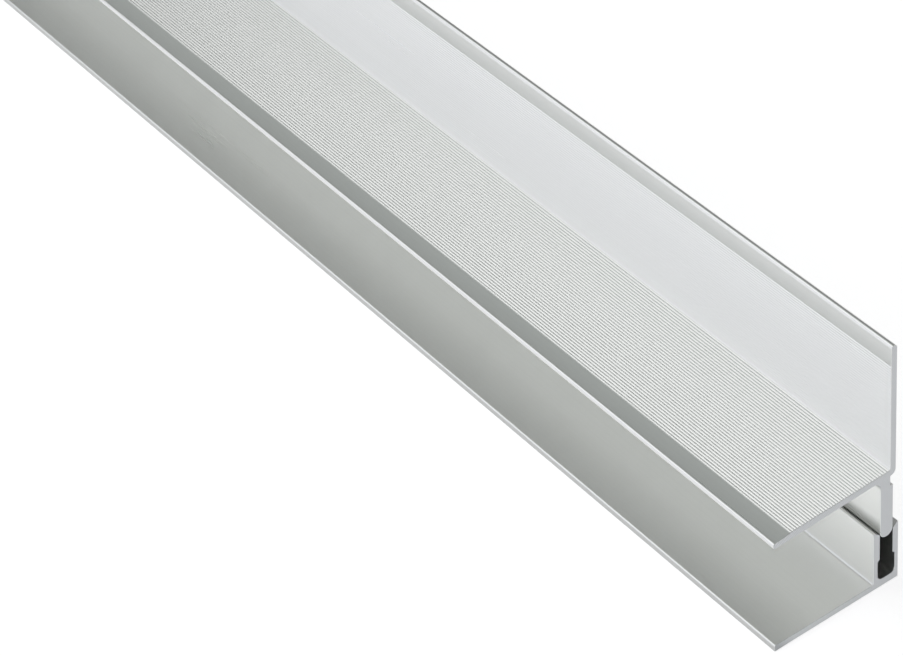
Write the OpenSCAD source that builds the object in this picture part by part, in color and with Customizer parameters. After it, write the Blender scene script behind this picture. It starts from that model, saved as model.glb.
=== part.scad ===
// Two-part aluminium edge profile for laid floors.
// The base extrusion lies on the floor and carries a socket. The cover extrusion has a ribbed ledge,
// a ribbed upright and a tongue that presses into the socket, deeper for a thinner floor.
// Millimetres. X runs along the stock, Y across it with the outer faces at +Y, Z up from the floor.

/* [Stock] */
// Length that both extrusions are cut to
length = 900; // [300:10:3000]

/* [Base extrusion] */
// Width of the base from its outer face to the toe of its foot
base_w = 24.7; // [16:0.5:60]
// Thickness of the foot
foot_t = 1.2; // [0.8:0.1:2.5]
// Web left under the slot
slot_floor_t = 1.5; // [1:0.1:2.5]
// Height of the socket above the foot
socket_rise = 10.6; // [9.5:0.1:20]
// Socket wall on the side of the foot
inner_wall_t = 1.3; // [1:0.05:2]
// Socket wall on the outer side
outer_wall_t = 1.1; // [1:0.05:2]
// Height of the sloped lead-in at the socket's mouth
lead_in_h = 0.8; // [0.4:0.1:1.5]
// Height of the wider chamber at the bottom of the slot
chamber_h = 4.3; // [2.5:0.1:6]
// How far the chamber reaches into each socket wall
chamber_undercut = 0.4; // [0.2:0.05:0.5]

/* [Cover extrusion] */
// Width of the ledge from the upright's ribbed face to its tip
ledge_w = 22.8; // [12:0.1:40]
// Thickness of the ledge at the tongue, over the crests of its ribs
ledge_t = 1.25; // [0.8:0.05:2]
// Thickness of the ledge's round tip
ledge_tip_t = 1; // [0.3:0.05:1.5]
// Width of the plain bevel that runs out to the tip
ledge_bevel_w = 3.2; // [1.5:0.1:6]
// How far the bevel lies below the ribs' crests where it meets the tip
ledge_bevel_d = 0.5; // [0.3:0.05:0.8]
// Degrees by which the ledge falls towards its tip
ledge_fall = 1.3; // [0:0.1:3]
// Height of the upright above the ledge
upright_h = 24.2; // [10:0.1:60]
// Thickness of the upright over the crests of its ribs
upright_t = 1.2; // [1:0.05:2]
// Plain strip under the upright's top edge
plain_strip_h = 3.55; // [1:0.05:8]
// How far the plain strip leans back at the top edge
strip_lean = 0.1; // [0.05:0.05:0.4]
// Round in the corner between the ledge and the upright
corner_r = 0.1; // [0.05:0.05:0.8]
// Round between the ledge's underside and the tongue
tongue_fillet_r = 1.7; // [0.3:0.1:3]

/* [Tongue and groove] */
// Thickness of the tongue
tongue_t = 2.5; // [2:0.05:4]
// Length of the tongue under the ledge
tongue_h = 12.05; // [9:0.05:30]
// How far the tongue stands in the socket as it is set
insertion = 1.8; // [1.4:0.1:8]
// Clearance on each side of the tongue in the slot
slot_clearance = 0.05; // [0.03:0.01:0.2]
// How far the upright's outer face stands beyond the tongue's
upright_overhang = 0.5; // [0.2:0.05:1]
// Depth of the neck groove in the tongue's outer face
neck_groove_d = 0.55; // [0.2:0.05:0.8]
// Height of the neck groove
neck_groove_h = 2; // [1:0.1:4]
// Distance from the tongue's nose to its first grip line
grip_start = 1.6; // [1.4:0.1:4]
// Distance between the tongue's grip lines
grip_pitch = 0.55; // [0.4:0.05:0.8]
// Depth of the grip lines
grip_d = 0.12; // [0.05:0.01:0.2]

/* [Ribs] */
// Distance from rib to rib, which the ledge's row stretches a little to fill its width
rib_pitch = 0.5; // [0.4:0.05:1.2]
// Depth of the valleys between the ribs
rib_d = 0.12; // [0.05:0.01:0.2]
// Width of a rib's flat crest, and of the valley beside it
rib_flat = 0.08; // [0.02:0.01:0.15]

/* [Hidden] */
$fn = 64;

// Outer face of the base, and the toe of its foot
outer_y = base_w / 2;
toe_y = -base_w / 2;

// Socket and slot
slot_w = tongue_t + 2 * slot_clearance;
slot_outer_y = outer_y - outer_wall_t;
slot_inner_y = slot_outer_y - slot_w;
socket_inner_y = slot_inner_y - inner_wall_t;
socket_top_z = foot_t + socket_rise;
lead_in_z = socket_top_z - lead_in_h;
chamber_w = slot_w + 2 * chamber_undercut;

// Share of each socket wall that the lead-in takes
lead_in_share = 0.7;

// Tongue
tongue_outer_y = slot_outer_y - slot_clearance;
tongue_inner_y = tongue_outer_y - tongue_t;
nose_r = tongue_t / 2;
nose_z = socket_top_z - insertion;
neck_outer_y = tongue_outer_y - neck_groove_d;
grip_lines = 2;

// Ledge and upright
ledge_under_z = nose_z + tongue_h;
ledge_top_z = ledge_under_z + ledge_t;
upright_outer_y = tongue_outer_y + upright_overhang;
upright_inner_y = upright_outer_y - upright_t;
upright_top_z = ledge_top_z + upright_h;
bend_r = upright_overhang + neck_groove_d;

// Small rounds that follow the thickness of their edges
toe_r = 0.25 * foot_t;
foot_fillet_r = 0.25 * foot_t;
top_r = (upright_t - strip_lean) / 2;
rim_r = 0.15 * outer_wall_t;
chamber_floor_r = 0.3 * chamber_w;

// Run of a rib's sloped flank along the face
function rib_flank(pitch) = pitch / 2 - rib_flat;

// Step from the last rib of the ledge down to the bevel, sloped like the ribs' flanks
step_d = 1.5 * rib_d;
step_run = 1.5 * rib_flank(rib_pitch);

// Ribs that fit on the ledge, spread out to fill its width, and on the upright
ledge_row_w = ledge_w - ledge_bevel_w - step_run - rib_flat - corner_r;
ledge_ribs = floor(ledge_row_w / rib_pitch);
ledge_pitch = ledge_row_w / ledge_ribs;
upright_ribs = floor((upright_h - plain_strip_h - corner_r) / rib_pitch);

// Outline of a row of ribs from crest to crest: [distance along the face, depth under the crests]
function rib_row(count, pitch) = [
    for (i = [0 : count - 1]) each [
        [i * pitch + rib_flat, 0],
        [i * pitch + rib_flat + rib_flank(pitch), rib_d],
        [(i + 1) * pitch - rib_flank(pitch), rib_d],
        [(i + 1) * pitch, 0]
    ]
];

// Square corner at the origin less the round that fits in it: added it fills an inner corner,
// taken away it rounds an outer one
module spandrel(r) {
    difference() {
        square(r);
        translate([r, r]) circle(r);
    }
}

// Opening of the slot: lead-in at the mouth, straight sides, wider chamber at the bottom
module slot_section() {
    inner_lead_y = slot_inner_y - lead_in_share * inner_wall_t;
    outer_lead_y = slot_outer_y + lead_in_share * outer_wall_t;
    polygon([
        [slot_inner_y, slot_floor_t + chamber_h / 2],
        [slot_outer_y, slot_floor_t + chamber_h / 2],
        [slot_outer_y, lead_in_z],
        [outer_lead_y, socket_top_z],
        [outer_lead_y, socket_top_z + lead_in_h],
        [inner_lead_y, socket_top_z + lead_in_h],
        [inner_lead_y, socket_top_z],
        [slot_inner_y, lead_in_z]
    ]);
    translate([slot_inner_y - chamber_undercut, slot_floor_t]) difference() {
        square([chamber_w, chamber_h]);
        spandrel(chamber_floor_r);
        translate([chamber_w, 0]) mirror([1, 0]) spandrel(chamber_floor_r);
        translate([0, chamber_h]) mirror([0, 1]) spandrel(chamber_undercut);
        translate([chamber_w, chamber_h]) rotate(180) spandrel(chamber_undercut);
    }
}

module base_section() {
    difference() {
        union() {
            translate([toe_y, 0]) square([base_w, foot_t]);
            translate([socket_inner_y, 0]) square([outer_y - socket_inner_y, socket_top_z]);
            translate([socket_inner_y, foot_t]) mirror([1, 0]) spandrel(foot_fillet_r);
        }
        translate([toe_y, foot_t]) mirror([0, 1]) spandrel(toe_r);
        translate([socket_inner_y, socket_top_z]) mirror([0, 1]) spandrel(rim_r);
        translate([outer_y, socket_top_z]) rotate(180) spandrel(rim_r);
        slot_section();
    }
}

// Upright with ribs on its inner face. Above them a plain strip leans back and runs into the round
// along the top edge.
module upright_section() {
    top_centre = [upright_outer_y - top_r, upright_top_z - top_r];
    translate(top_centre) circle(top_r);
    difference() {
        polygon(concat(
            [
                [upright_inner_y, ledge_under_z],
                [upright_outer_y, ledge_under_z],
                top_centre + [top_r, 0],
                top_centre - [0.95 * top_r, 0]
            ],
            [
                for (p = rib_row(upright_ribs, rib_pitch))
                    [upright_inner_y + p[1], upright_top_z - plain_strip_h - p[0]]
            ]
        ));
        translate([upright_outer_y, ledge_under_z]) mirror([1, 0]) spandrel(bend_r);
    }
}

// Ledge with ribs on top, let into the upright by half its thickness. A step leads down from the ribs to
// a plain bevel, which runs out to the round tip and meets it just under the crown. The ledge is drawn
// level, with its corner at the upright as the origin, and then turned down by its fall.
module ledge_section() {
    tip_r = ledge_tip_t / 2;
    tip_centre = [-ledge_w + tip_r, -ledge_bevel_d - tip_r];
    bevel_start = [-ledge_w + ledge_bevel_w, -step_d];
    last_crest = bevel_start + [step_run, step_d];
    row_start = last_crest[0] + rib_flat + ledge_row_w;
    translate([upright_inner_y, ledge_top_z]) {
        rotate(ledge_fall) {
            polygon(concat(
                [
                    tip_centre - [0, tip_r],
                    [min(0, neck_outer_y - upright_inner_y), -ledge_t],
                    [upright_t / 2, -ledge_t / 2],
                    [upright_t / 2, 0]
                ],
                [for (p = rib_row(ledge_ribs, ledge_pitch)) [row_start - p[0], -p[1]]],
                [
                    last_crest,
                    bevel_start,
                    tip_centre + [0, 0.95 * tip_r]
                ]
            ));
            translate(tip_centre) circle(tip_r);
        }
        translate([0, -corner_r * tan(ledge_fall)]) mirror([1, 0]) spandrel(corner_r);
    }
}

// Tongue with a round nose, a groove at its neck and fine grip lines on its inner face
module tongue_section() {
    difference() {
        union() {
            translate([tongue_inner_y + nose_r, nose_z + nose_r]) circle(nose_r);
            translate([tongue_inner_y, nose_z + nose_r])
                square([tongue_t, tongue_h - nose_r - neck_groove_h]);
            translate([tongue_inner_y, nose_z + nose_r])
                square([tongue_t - neck_groove_d, tongue_h - nose_r + ledge_t / 2]);
            translate([tongue_inner_y, ledge_under_z]) rotate(180) spandrel(tongue_fillet_r);
        }
        for (i = [0 : grip_lines - 1])
            translate([tongue_inner_y, nose_z + grip_start + i * grip_pitch])
                polygon([[-grip_d, -2 * grip_d], [grip_d, 0], [-grip_d, 2 * grip_d]]);
    }
}

module extruded() {
    rotate([90, 0, 90]) linear_extrude(height = length, center = true) children();
}

module base_profile() {
    color([0.77, 0.78, 0.78]) extruded() base_section();
}

module cover_profile() {
    color([0.82, 0.83, 0.84]) extruded() {
        upright_section();
        ledge_section();
        tongue_section();
    }
}

base_profile();
cover_profile();
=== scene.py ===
# %% [markdown]
# # A floor edge profile in extruded aluminium
# This lesson dresses a long aluminium trim for the edge of a laid floor. It is two extrusions: a base
# with a flat foot and a socket, and a ribbed cover whose tongue stands in that socket. Their solids
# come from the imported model, already in metres and in place. What is left for Blender is how metal
# looks: cut ends, broken edges, lines that the die left along the stock, and soft studio light.

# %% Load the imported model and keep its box
import math

import bmesh
import bpy
from mathutils import Matrix, Vector


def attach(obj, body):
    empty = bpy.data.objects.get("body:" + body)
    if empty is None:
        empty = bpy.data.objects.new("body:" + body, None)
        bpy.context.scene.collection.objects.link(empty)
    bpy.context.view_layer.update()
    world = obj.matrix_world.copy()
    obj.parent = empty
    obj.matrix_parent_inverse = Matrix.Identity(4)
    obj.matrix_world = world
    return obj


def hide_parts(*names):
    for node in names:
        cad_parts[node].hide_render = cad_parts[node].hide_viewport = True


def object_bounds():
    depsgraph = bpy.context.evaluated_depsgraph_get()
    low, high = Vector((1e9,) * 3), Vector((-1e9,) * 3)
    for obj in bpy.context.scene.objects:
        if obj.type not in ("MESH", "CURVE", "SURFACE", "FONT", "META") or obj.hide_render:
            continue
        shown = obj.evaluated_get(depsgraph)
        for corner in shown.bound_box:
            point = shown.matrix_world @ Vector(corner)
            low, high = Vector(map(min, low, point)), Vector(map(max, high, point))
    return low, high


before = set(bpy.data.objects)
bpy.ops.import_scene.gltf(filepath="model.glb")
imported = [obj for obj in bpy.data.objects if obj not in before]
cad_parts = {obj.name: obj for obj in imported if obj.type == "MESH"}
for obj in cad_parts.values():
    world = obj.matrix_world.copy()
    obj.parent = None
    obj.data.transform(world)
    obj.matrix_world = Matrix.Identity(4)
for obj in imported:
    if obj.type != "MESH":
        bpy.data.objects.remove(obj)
cad_low, cad_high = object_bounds()
MM = 0.001

# %% [markdown]
# ## The camera
# A camera is matched to a picture in two steps. The directions in which parallel edges run together
# give the lens and the way the camera points. One corner of the stock then fixes where it stands. The
# edges here give a long lens about half a metre away, which looks down on the near cut end and is
# rolled a few degrees, so that the stock fills the picture from corner to corner.

# %% Point the camera at the near end
scene = bpy.context.scene
VIEW_AZIMUTH = math.radians(57.61)
VIEW_ELEVATION = math.radians(40.26)
VIEW_ROLL = math.radians(-5.94)
AIM = Vector((391.09, -26.33, 34.32)) * MM
AIM_DISTANCE = 500 * MM
LENS_IN_MM = 129.8
SENSOR_IN_MM = 36
NEAREST_SEEN = 10 * MM

back = Vector((
    math.sin(VIEW_AZIMUTH) * math.cos(VIEW_ELEVATION),
    -math.cos(VIEW_AZIMUTH) * math.cos(VIEW_ELEVATION),
    math.sin(VIEW_ELEVATION),
))
camera = bpy.data.objects.new("camera", bpy.data.cameras.new("camera"))
camera.data.lens = LENS_IN_MM
camera.data.sensor_width = SENSOR_IN_MM
camera.data.sensor_fit = "HORIZONTAL"
camera.data.clip_start = NEAREST_SEEN
look = (-back).to_track_quat("-Z", "Y").to_matrix().to_4x4()
roll = Matrix.Rotation(VIEW_ROLL, 4, "Z")
camera.matrix_world = Matrix.Translation(AIM + back * AIM_DISTANCE) @ look @ roll
scene.collection.objects.link(camera)
scene.camera = camera
print("camera at", [round(v, 4) for v in camera.matrix_world.translation])

# %% [markdown]
# ## Tools for the materials
# Colours are written as sRGB hex values, as a picture editor shows them, and the shader wants linear
# light, so one function converts them. A second function adds a node, sets its values and links it,
# which keeps every material readable from top to bottom.

# %% Colour conversion and the node helper
def linear(hex_colour):
    """Linear RGBA of an sRGB hex colour."""
    channels = [int(hex_colour[i:i + 2], 16) / 255 for i in (0, 2, 4)]
    return [c / 12.92 if c <= 0.04045 else ((c + 0.055) / 1.055) ** 2.4 for c in channels] + [1.0]


def add_node(tree, kind, values=None, links=None, **settings):
    """A node of that kind with its settings, its input values and links into its inputs."""
    node = tree.nodes.new(kind)
    for name, value in settings.items():
        setattr(node, name, value)
    for name, value in (values or {}).items():
        node.inputs[name].default_value = value
    for name, socket in (links or {}).items():
        tree.links.new(socket, node.inputs[name])
    return node


def new_material(name):
    """An empty node material and its tree."""
    material = bpy.data.materials.new(name)
    material.use_nodes = True
    material.node_tree.nodes.clear()
    return material, material.node_tree


print("white is", linear("FFFFFF")[:3])

# %% [markdown]
# ## Extruded aluminium
# Bare aluminium throws back more than nine tenths of the light, so its colour is all but white. Stock
# that comes out of a die carries its lines: faint scratches that run along it, closer than half a
# millimetre. Over them lies a soft cloudiness from the oxide, in patches some centimetres long. To the
# eye this gives a satin metal whose reflections are drawn out across the lines. Noise that is
# stretched a thousand times along X makes the lines, and a coarse noise makes the clouds. Together
# they only nudge the colour and the roughness, and the lines are also a very shallow bump.

# %% Make the extruded finish
DIE_LINE = 0.35 * MM
DIE_LINE_LENGTH = 400 * MM
DIE_LINE_DEPTH = 0.004 * MM
CLOUD = 14 * MM
CLOUD_LENGTH = 60 * MM
CLOUD_SHARE = 0.45
# Nearly all values of the noise lie between these two
NOISE_LOW = 0.3
NOISE_HIGH = 0.7

extruded, tree = new_material("Extruded aluminium, mill finish")
place = add_node(tree, "ShaderNodeTexCoord")
line_space = add_node(
    tree, "ShaderNodeMapping", {"Scale": (1 / DIE_LINE_LENGTH, 1 / DIE_LINE, 1 / DIE_LINE)},
    {"Vector": place.outputs["Object"]},
)
lines = add_node(
    tree, "ShaderNodeTexNoise", {"Scale": 1.0, "Detail": 2.0, "Roughness": 0.6},
    {"Vector": line_space.outputs["Vector"]},
)
cloud_space = add_node(
    tree, "ShaderNodeMapping", {"Scale": (1 / CLOUD_LENGTH, 1 / CLOUD, 1 / CLOUD)},
    {"Vector": place.outputs["Object"]},
)
clouds = add_node(
    tree, "ShaderNodeTexNoise", {"Scale": 1.0, "Detail": 3.0, "Roughness": 0.55},
    {"Vector": cloud_space.outputs["Vector"]},
)
unevenness = add_node(
    tree, "ShaderNodeMix", {"Factor": CLOUD_SHARE},
    {"A": lines.outputs["Fac"], "B": clouds.outputs["Fac"]}, data_type="FLOAT",
)
tone = add_node(tree, "ShaderNodeValToRGB", None, {"Fac": unevenness.outputs["Result"]})
tone.color_ramp.elements[0].position = NOISE_LOW
tone.color_ramp.elements[0].color = linear("F5F6F4")
tone.color_ramp.elements[1].position = NOISE_HIGH
tone.color_ramp.elements[1].color = linear("F9FAF8")
polish = add_node(
    tree, "ShaderNodeMapRange",
    {"From Min": NOISE_LOW, "From Max": NOISE_HIGH, "To Min": 0.27, "To Max": 0.32},
    {"Value": unevenness.outputs["Result"]},
)
scratch = add_node(
    tree, "ShaderNodeBump", {"Strength": 0.12, "Distance": DIE_LINE_DEPTH},
    {"Height": lines.outputs["Fac"]},
)
metal = add_node(
    tree, "ShaderNodeBsdfPrincipled", {"Metallic": 1.0},
    {
        "Base Color": tone.outputs["Color"],
        "Roughness": polish.outputs["Result"],
        "Normal": scratch.outputs["Normal"],
    },
)
add_node(tree, "ShaderNodeOutputMaterial", None, {"Surface": metal.outputs["BSDF"]})
print(extruded.name, "has", len(tree.nodes), "nodes")

# %% [markdown]
# ## Saw-cut aluminium
# The ends were cut with a circular saw, and its teeth left shallow arcs a few tenths of a millimetre
# apart. That makes the ends duller than the sides and a touch cooler in colour. A wave texture in
# rings around the blade's centre, far off to one side, gives arcs that are all but straight lines.

# %% Make the sawn finish
SAW_MARK = 0.45 * MM
SAW_MARK_DEPTH = 0.01 * MM
BLADE_CENTRE = Vector((0.0, -70.0, 110.0)) * MM
# Distance from ring to ring of the wave texture at a scale of 1
WAVE_PERIOD = 2 * math.pi / 20

sawn, tree = new_material("Saw-cut aluminium")
place = add_node(tree, "ShaderNodeTexCoord")
blade_space = add_node(
    tree, "ShaderNodeMapping", {"Location": -BLADE_CENTRE}, {"Vector": place.outputs["Object"]},
)
marks = add_node(
    tree, "ShaderNodeTexWave",
    {"Scale": WAVE_PERIOD / SAW_MARK, "Distortion": 1.2, "Detail": 2.0, "Detail Scale": 0.6},
    {"Vector": blade_space.outputs["Vector"]}, wave_type="RINGS", rings_direction="X",
)
tone = add_node(tree, "ShaderNodeValToRGB", None, {"Fac": marks.outputs["Fac"]})
tone.color_ramp.elements[0].color = linear("CED0D2")
tone.color_ramp.elements[1].color = linear("DCDEE0")
groove = add_node(
    tree, "ShaderNodeBump", {"Strength": 0.35, "Distance": SAW_MARK_DEPTH},
    {"Height": marks.outputs["Fac"]},
)
metal = add_node(
    tree, "ShaderNodeBsdfPrincipled", {"Metallic": 1.0, "Roughness": 0.48},
    {"Base Color": tone.outputs["Color"], "Normal": groove.outputs["Normal"]},
)
add_node(tree, "ShaderNodeOutputMaterial", None, {"Surface": metal.outputs["BSDF"]})
print(sawn.name, "has", len(tree.nodes), "nodes")

# %% [markdown]
# ## Painted shade in the valleys
# The valleys between the ledge's ribs are painted with shade: their floors get a darker and rougher
# metal, so the eye sees each valley as a thin dark line. The ribs of the upright face sideways and
# get none of it. A plain metal is enough for this painted shade on strips that are less than a tenth
# of a millimetre wide.

# %% Make the painted valley shade
# Painted shade: a darker, rougher metal that darkens the valley floors between the ribs.
painted_valley_shade, tree = new_material("Aluminium darkened as painted valley shade")
metal = add_node(
    tree, "ShaderNodeBsdfPrincipled",
    {"Base Color": linear("AEB0AD"), "Metallic": 1.0, "Roughness": 0.45},
)
add_node(tree, "ShaderNodeOutputMaterial", None, {"Surface": metal.outputs["BSDF"]})
print(painted_valley_shade.name, "has", len(tree.nodes), "nodes")

# %% [markdown]
# ## A finish for each face
# The solids are right as they are, down to each rib, so a face's finish follows from where it looks.
# The faces at the two ends look along the stock and get the sawn finish. An upward face with steep
# slopes rising on two sides is the floor of a valley and gets the painted valley shade. All others are
# as the die left them. A face counts as looking along an axis when its normal all but follows it.

# %% Tell the ends and the valleys from the other faces
LOOKS_ALONG = 0.9
STEEP = math.radians(25)
# The last of these is the painted shade for the valley floors.
finishes = (extruded, sawn, painted_valley_shade)


def is_end(face):
    """Whether the face looks along the stock."""
    return abs(face.normal.x) > LOOKS_ALONG


def is_valley(face):
    """Whether the face looks up and the faces beside it rise steeply on two of its sides."""
    slopes = sum(edge.calc_face_angle_signed() < -STEEP for edge in face.edges)
    return face.normal.z > LOOKS_ALONG and slopes == 2


def finish_of(face):
    """The finish that the face gets, or the painted shade if it is a valley floor."""
    if is_end(face):
        return sawn
    # Valley floors get the painted shade, all other faces the die's finish.
    return painted_valley_shade if is_valley(face) else extruded


print("finishes:", [finish.name for finish in finishes])

# %% [markdown]
# ## The two extrusions
# A real cut end has no knife edge: the saw and a touch with a file leave a narrow bright break all
# around it. So each extrusion is shown by a copy of its solid. The copy's loose triangles are merged
# and joined to whole faces again, each face gets its finish, and a bevel breaks the edges around the
# two ends. The faces are of very different sizes, so a modifier weighs the normals by area, which
# keeps the large ones flat to the eye. The copy rides on the body of the solid that it replaces.

# %% Copy the solids, break the edges of their ends and put them in place
END_BREAK = 0.05 * MM
SAME_POINT = 0.001 * MM
SAME_PLANE = math.radians(1)


def dress(node_name, piece_name, body):
    """Shows a CAD node by a copy of it that has its finishes and broken edges."""
    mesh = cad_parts[node_name].data.copy()
    mesh.name = piece_name
    mesh.materials.clear()
    for finish in finishes:
        mesh.materials.append(finish)
    shape = bmesh.new()
    shape.from_mesh(mesh)
    bmesh.ops.remove_doubles(shape, verts=shape.verts, dist=SAME_POINT)
    bmesh.ops.dissolve_limit(
        shape, angle_limit=SAME_PLANE, verts=shape.verts, edges=shape.edges, delimit={"NORMAL"},
    )
    for face in shape.faces:
        face.material_index = finishes.index(finish_of(face))
        face.smooth = True
    rims = [edge for edge in shape.edges if any(is_end(face) for face in edge.link_faces)]
    bmesh.ops.bevel(
        shape, geom=rims, offset=END_BREAK, offset_type="OFFSET", affect="EDGES",
        segments=1, profile=0.5, material=-1, clamp_overlap=True,
    )
    shape.to_mesh(mesh)
    shape.free()
    mesh.set_sharp_from_angle(angle=STEEP)
    piece = bpy.data.objects.new(piece_name, mesh)
    scene.collection.objects.link(piece)
    weighted = piece.modifiers.new("flat faces stay flat", "WEIGHTED_NORMAL")
    weighted.keep_sharp = True
    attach(piece, body)
    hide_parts(node_name)
    print(piece_name, "has", len(mesh.polygons), "faces")


dress("base_profile", "base_extrusion", "base")
dress("cover_profile", "cover_extrusion", "cover")

# %% [markdown]
# ## The floor's paint
# A pale floor carries the stock and catches its shadow. Metal shows what is around it, so the floor is
# also the lower half of everything that the aluminium reflects. It glows a little for the camera,
# which keeps the background white, and less for reflections, so that the outer faces do not vanish
# against it. A glow shows no shade, so the narrow shade along the toe of the foot is made by hand: over
# the last few millimetres the glow in reflections fades, and the toe's front face shows as a grey
# line. To the lamps the floor is a plain matt surface.

# %% Make the floor's paint
GLOW_TO_CAMERA = 0.73
GLOW_TO_METAL = 0.53
GLOW_BESIDE_TOE = 0.2
TOE_SHADE = 4 * MM

floor_paint, tree = new_material("Matt white floor")
path = add_node(tree, "ShaderNodeLightPath")
place = add_node(tree, "ShaderNodeTexCoord")
across = add_node(tree, "ShaderNodeSeparateXYZ", None, {"Vector": place.outputs["Object"]})
from_toe = add_node(
    tree, "ShaderNodeMath", {1: cad_low.y}, {0: across.outputs["Y"]}, operation="SUBTRACT",
)
off_toe = add_node(tree, "ShaderNodeMath", None, {0: from_toe.outputs["Value"]}, operation="ABSOLUTE")
open_floor = add_node(
    tree, "ShaderNodeMapRange",
    {"From Min": 0.0, "From Max": TOE_SHADE, "To Min": GLOW_BESIDE_TOE, "To Max": GLOW_TO_METAL},
    {"Value": off_toe.outputs["Value"]},
)
in_metal = add_node(
    tree, "ShaderNodeMath", None,
    {0: path.outputs["Is Glossy Ray"], 1: open_floor.outputs["Result"]}, operation="MULTIPLY",
)
glow = add_node(
    tree, "ShaderNodeMath", {1: GLOW_TO_CAMERA},
    {0: path.outputs["Is Camera Ray"], 2: in_metal.outputs["Value"]}, operation="MULTIPLY_ADD",
)
paint = add_node(
    tree, "ShaderNodeBsdfPrincipled",
    {
        "Base Color": linear("DCDCDC"),
        "Roughness": 0.9,
        "Specular IOR Level": 0.0,
        "Emission Color": linear("FFFFFF"),
    },
    {"Emission Strength": glow.outputs["Value"]},
)
add_node(tree, "ShaderNodeOutputMaterial", None, {"Surface": paint.outputs["BSDF"]})
print(floor_paint.name, "has", len(tree.nodes), "nodes")

# %% [markdown]
# ## The floor
# One large square under the stock is enough. Its edges lie so far away that the usual views, which
# look down on the stock, never reach them.

# %% Lay the floor
FLOOR_SIZE = 40.0

shape = bmesh.new()
bmesh.ops.create_grid(shape, x_segments=1, y_segments=1, size=FLOOR_SIZE / 2)
floor_mesh = bpy.data.meshes.new("floor")
shape.to_mesh(floor_mesh)
shape.free()
floor_mesh.materials.append(floor_paint)
floor = bpy.data.objects.new("floor", floor_mesh)
scene.collection.objects.link(floor)
print("floor of", FLOOR_SIZE, "m")

# %% [markdown]
# ## The light
# A long straight profile shows its surroundings by angle: each strip of its section mirrors one band
# of the room, and the same band along the whole length. Seen from this camera, the upright mirrors
# what stands in front of it just above the floor. The fronts of the ledge's ribs, and the gap below
# after a few reflections, mirror what stands some 55 degrees up. The bevel mirrors the ceiling beyond.
# So every lamp is a softbox that runs parallel to the stock, placed by its angle up from the front and
# by the span of degrees that it covers. Cool daylight falls on the upright, the overhead softbox is
# the brightest, and the ceiling is dim, which leaves the bevel darker than the ribs beside it. Two more
# softboxes, beyond the sawn end and behind the stock, light the faces that the other lamps miss. The
# front and back softboxes stand far off, so that no border of their light lies on the floor close by.

# %% Set the room and the softboxes
ROOM = "717273"
DAYLIGHT = "F4F5FF"
CEILING = "EFF9F1"
WHITE = "FFFFFF"

world = bpy.data.worlds.new("room")
scene.world = world
world.use_nodes = True
world.node_tree.nodes.clear()
room = add_node(world.node_tree, "ShaderNodeBackground", {"Color": linear(ROOM), "Strength": 1.0})
add_node(world.node_tree, "ShaderNodeOutputWorld", None, {"Surface": room.outputs["Background"]})
middle_height = (cad_low.z + cad_high.z) / 2


def softbox(name, colour, brightness, angle, span, distance, start, end):
    """A lamp along X from start to end, at an angle in degrees up from the front.

    It covers a span of degrees, seen from the stock, and a brightness of 1 is seen as white.
    """
    lamp = bpy.data.lights.new(name, "AREA")
    lamp.shape = "RECTANGLE"
    lamp.size = end - start
    lamp.size_y = 2 * distance * math.tan(math.radians(span / 2))
    lamp.energy = brightness * math.pi * lamp.size * lamp.size_y
    lamp.color = linear(colour)[:3]
    rise = math.radians(angle)
    holder = bpy.data.objects.new(name, lamp)
    holder.location = (
        (start + end) / 2,
        -distance * math.cos(rise),
        middle_height + distance * math.sin(rise),
    )
    holder.rotation_euler = (math.pi / 2 - rise, 0, 0)
    scene.collection.objects.link(holder)
    print(name, "gives", round(lamp.energy, 2), "W")


softbox("front softbox", DAYLIGHT, 0.9, angle=8, span=16, distance=6.0, start=-12.0, end=4.0)
softbox("upper front softbox", DAYLIGHT, 0.47, angle=30, span=30, distance=0.75, start=-1.2, end=0.6)
softbox("overhead softbox", WHITE, 0.94, angle=60, span=40, distance=0.9, start=-0.85, end=0.47)
softbox("ceiling softbox", CEILING, 0.2, angle=96, span=32, distance=0.88, start=-1.33, end=0.47)
softbox("end softbox", WHITE, 0.8, angle=122, span=41, distance=0.68, start=0.75, end=1.25)
softbox("back softbox", WHITE, 0.5, angle=168, span=25, distance=6.0, start=-5.4, end=5.4)

# %% [markdown]
# ## The end of the script
# The picture is drawn with the standard view transform. The dressed copies have to stay inside the
# box of the solids.

# %% Set the view transform and finish
scene.view_settings.view_transform = "Standard"
